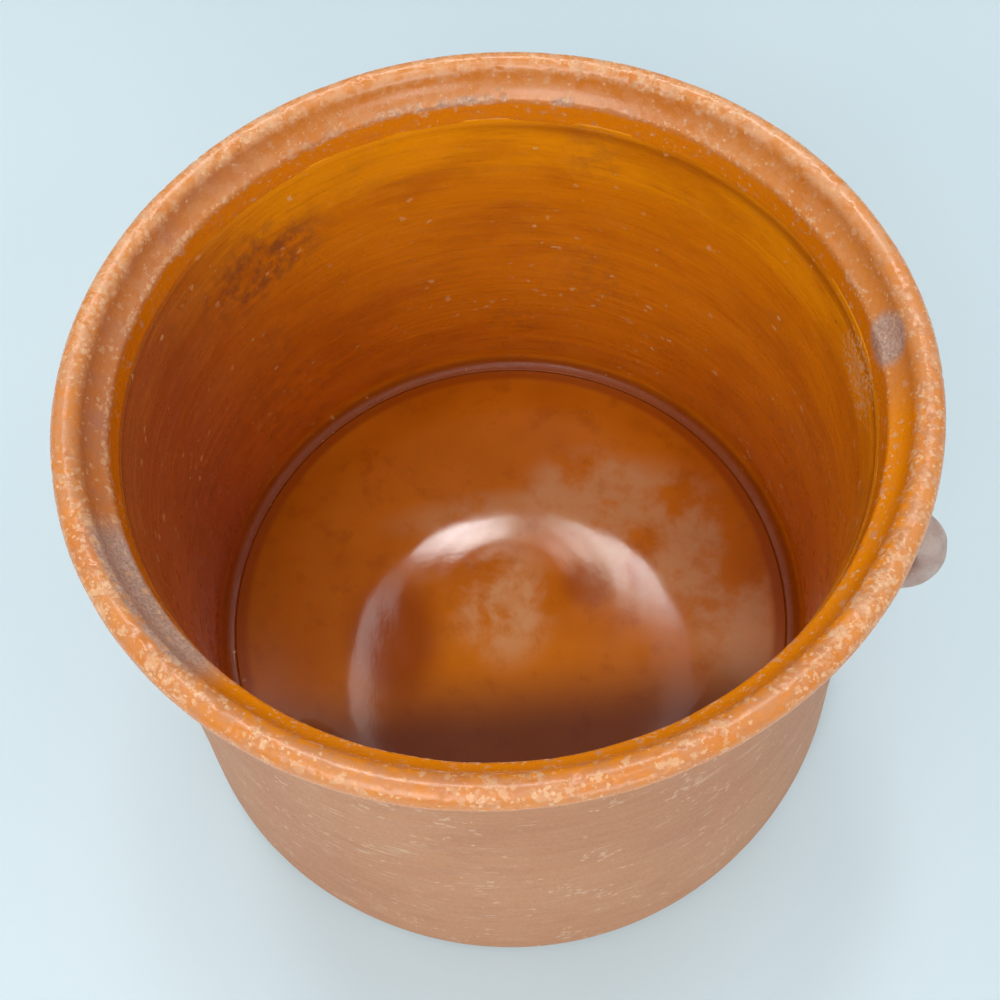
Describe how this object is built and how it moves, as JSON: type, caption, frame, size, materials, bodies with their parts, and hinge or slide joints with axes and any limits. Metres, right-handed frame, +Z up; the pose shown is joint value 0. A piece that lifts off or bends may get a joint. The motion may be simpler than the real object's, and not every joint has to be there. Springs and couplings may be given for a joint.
{
  "type": "oil jar",
  "caption": "Wide-mouthed terracotta oil jar, spreading to a broad foot, with a rolled lip, a lid seat, small ear handles and amber glaze inside.",
  "frame": {"origin": "middle of the jar's foot, on the surface it stands on", "axes": "+Z up along the jar's axis, +X towards the handle that the picture shows, +Y square to both"},
  "size_m": [0.3484, 0.3482, 0.2459],
  "materials": {
    "terracotta": "unglazed, matte, finely streaked",
    "rim_clay": "worn, unglazed under a rubbed glaze",
    "handle_clay": "unglazed, smoke-greyed",
    "floor_glaze": "glossy amber glaze with pale cloudy patches",
    "wall_glaze": "satin amber glaze with throwing rings and pits",
    "rim_glaze": "orange glaze, worn and chipped to the clay"
  },
  "bodies": {
    "root": {"floor_slab": "terracotta", "body_wall": "terracotta", "rim_collar": "rim_clay", "handle_right": "handle_clay", "handle_left": "handle_clay", "floor_glaze": "floor_glaze", "wall_glaze": "wall_glaze", "rim_glaze": "rim_glaze"}
  },
  "joints": []
}
